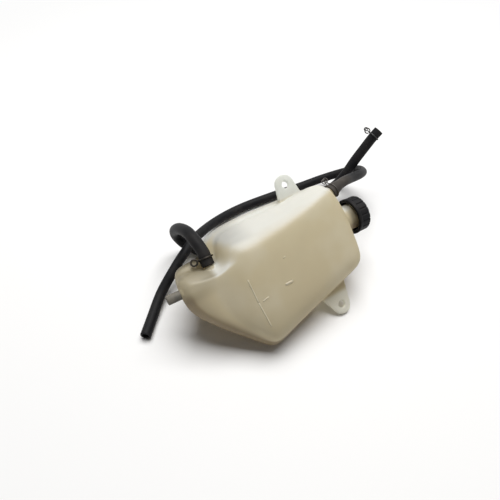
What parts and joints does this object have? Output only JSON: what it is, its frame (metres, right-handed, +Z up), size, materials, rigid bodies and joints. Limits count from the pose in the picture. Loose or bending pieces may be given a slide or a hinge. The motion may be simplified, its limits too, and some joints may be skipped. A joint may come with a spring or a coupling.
{
  "type": "coolant expansion tank",
  "caption": "Blow-moulded coolant expansion tank with fixing tabs, locating peg, ribbed screw cap and rubber siphon and overflow hoses, lying on a surface.",
  "frame": {"origin": "centre of the tank's outline on the surface that it lies on", "axes": "+Z up from that surface, +X along the longer side of the tank's outline, towards the cap"},
  "size_m": [0.2462, 0.2395, 0.0947],
  "materials": {
    "shell": "translucent natural polyethylene, aged to cream, satin",
    "cap": "black moulded plastic, lightly scuffed",
    "seal": "black rubber",
    "sleeve": "grey dusty rubber",
    "hose": "black smooth rubber with dust",
    "wire": "dark oxidised spring wire"
  },
  "bodies": {
    "tank": {"tank_rear": "shell", "tank_front": "shell", "filler_neck": "shell", "upper_tab": "shell", "lower_tab": "shell", "peg_sleeve": "sleeve", "siphon_hose": "hose", "overflow_hose": "hose", "siphon_clamp": "wire", "siphon_end_clamp": "wire", "overflow_clamp": "wire"},
    "seal": {"cap_seal": "seal"},
    "cap": {"filler_cap": "cap"}
  },
  "joints": [
    {"name": "cap_lift", "type": "slide", "parent": "tank", "child": "seal", "axis": [0.8606, 0.509, 0.0157], "range_m": [0, 0.01]},
    {"name": "cap_turn", "type": "hinge", "parent": "seal", "child": "cap", "pos_m": [0.07153, 0.04345, 0.05428], "axis": [0.8606, 0.509, 0.0157], "range_deg": [0, 900]}
  ],
  "couplings": [
    {"joint": "cap_turn", "follows": "cap_lift", "rad_per_m": 1570.8}
  ]
}
